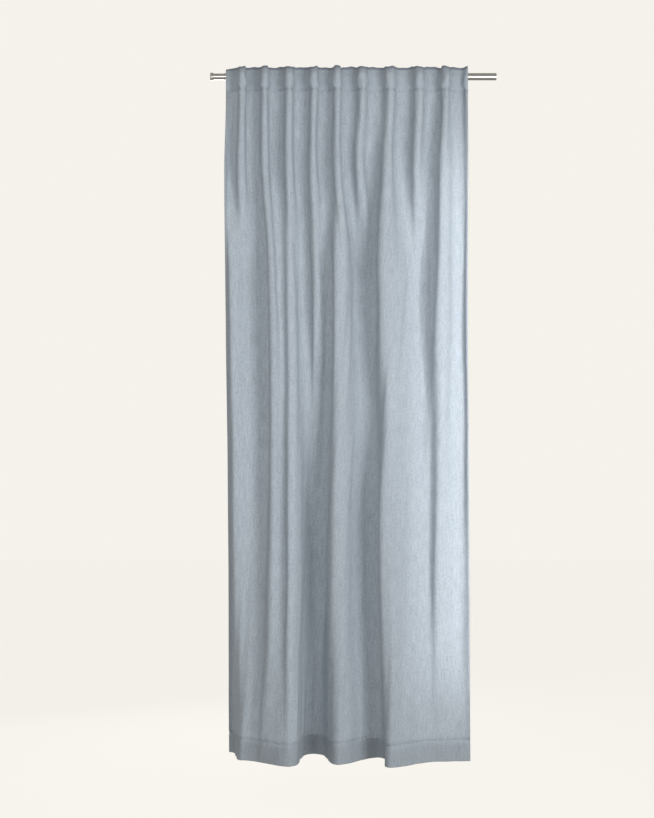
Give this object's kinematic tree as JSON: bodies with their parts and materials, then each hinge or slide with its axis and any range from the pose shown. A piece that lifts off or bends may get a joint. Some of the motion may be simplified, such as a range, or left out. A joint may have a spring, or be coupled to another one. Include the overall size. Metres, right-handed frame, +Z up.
{
  "type": "fabric room curtain panel",
  "caption": "Semi-sheer light grey-blue fabric curtain panel with a hidden-loop heading, hanging in soft folds from a telescopic steel rod with a flanged end cap.",
  "frame": {"origin": "on the rod's axis, above the middle of the hung cloth", "axes": "+X along the rod to the right as seen from the room, +Y away from the room, +Z up"},
  "size_m": [1.0145, 0.2088, 2.45],
  "materials": {
    "panel_fabric": "open linen-look weave, semi-sheer, matt",
    "hem_fabric": "the same weave doubled, matt",
    "loop_tape": "woven polyester tape, matt",
    "rod_steel": "satin nickel, brushed along its length",
    "cap_moulding": "satin nickel"
  },
  "bodies": {
    "outer_rod": {"outer_tube": "rod_steel"},
    "inner_rod": {"inner_tube": "rod_steel"},
    "rod_cap": {"end_cap": "cap_moulding"},
    "curtain": {"panel_cloth": "panel_fabric", "top_hem": "hem_fabric", "heading_tape": "loop_tape", "left_side_hem": "hem_fabric", "right_side_hem": "hem_fabric", "bottom_hem": "hem_fabric", "loop_01": "loop_tape"},
    "loop_02_strap": {"loop_02": "loop_tape"},
    "loop_03_strap": {"loop_03": "loop_tape"},
    "loop_04_strap": {"loop_04": "loop_tape"},
    "loop_05_strap": {"loop_05": "loop_tape"},
    "loop_06_strap": {"loop_06": "loop_tape"},
    "loop_07_strap": {"loop_07": "loop_tape"},
    "loop_08_strap": {"loop_08": "loop_tape"},
    "loop_09_strap": {"loop_09": "loop_tape"},
    "loop_10_strap": {"loop_10": "loop_tape"}
  },
  "joints": [
    {"name": "rod_extend", "type": "slide", "parent": "outer_rod", "child": "inner_rod", "axis": [-1, 0, 0], "range_m": [-0.038, 0.3]},
    {"name": "end_cap_pull", "type": "slide", "parent": "inner_rod", "child": "rod_cap", "axis": [-1, 0, 0], "range_m": [0, 0.03]},
    {"name": "curtain_traverse", "type": "slide", "parent": "outer_rod", "child": "curtain", "axis": [1, 0, 0], "range_m": [-0.015, 0.085]},
    {"name": "curtain_draw", "type": "slide", "parent": "curtain", "child": "loop_10_strap", "axis": [1, 0, 0], "range_m": [-0.558, 0], "deforming": ["panel_cloth", "top_hem", "heading_tape", "left_side_hem", "right_side_hem", "bottom_hem"]},
    {"name": "loop_02_glide", "type": "slide", "parent": "curtain", "child": "loop_02_strap", "axis": [1, 0, 0], "range_m": [-0.054, 0]},
    {"name": "loop_03_glide", "type": "slide", "parent": "curtain", "child": "loop_03_strap", "axis": [1, 0, 0], "range_m": [-0.1107, 0]},
    {"name": "loop_04_glide", "type": "slide", "parent": "curtain", "child": "loop_04_strap", "axis": [1, 0, 0], "range_m": [-0.1744, 0]},
    {"name": "loop_05_glide", "type": "slide", "parent": "curtain", "child": "loop_05_strap", "axis": [1, 0, 0], "range_m": [-0.2332, 0]},
    {"name": "loop_06_glide", "type": "slide", "parent": "curtain", "child": "loop_06_strap", "axis": [1, 0, 0], "range_m": [-0.2899, 0]},
    {"name": "loop_07_glide", "type": "slide", "parent": "curtain", "child": "loop_07_strap", "axis": [1, 0, 0], "range_m": [-0.3564, 0]},
    {"name": "loop_08_glide", "type": "slide", "parent": "curtain", "child": "loop_08_strap", "axis": [1, 0, 0], "range_m": [-0.4278, 0]},
    {"name": "loop_09_glide", "type": "slide", "parent": "curtain", "child": "loop_09_strap", "axis": [1, 0, 0], "range_m": [-0.4992, 0]}
  ],
  "couplings": [
    {"joint": "loop_02_glide", "follows": "curtain_draw", "ratio": 0.096612},
    {"joint": "loop_03_glide", "follows": "curtain_draw", "ratio": 0.19824},
    {"joint": "loop_04_glide", "follows": "curtain_draw", "ratio": 0.31242},
    {"joint": "loop_05_glide", "follows": "curtain_draw", "ratio": 0.41782},
    {"joint": "loop_06_glide", "follows": "curtain_draw", "ratio": 0.51945},
    {"joint": "loop_07_glide", "follows": "curtain_draw", "ratio": 0.63865},
    {"joint": "loop_08_glide", "follows": "curtain_draw", "ratio": 0.76663},
    {"joint": "loop_09_glide", "follows": "curtain_draw", "ratio": 0.8946}
  ]
}
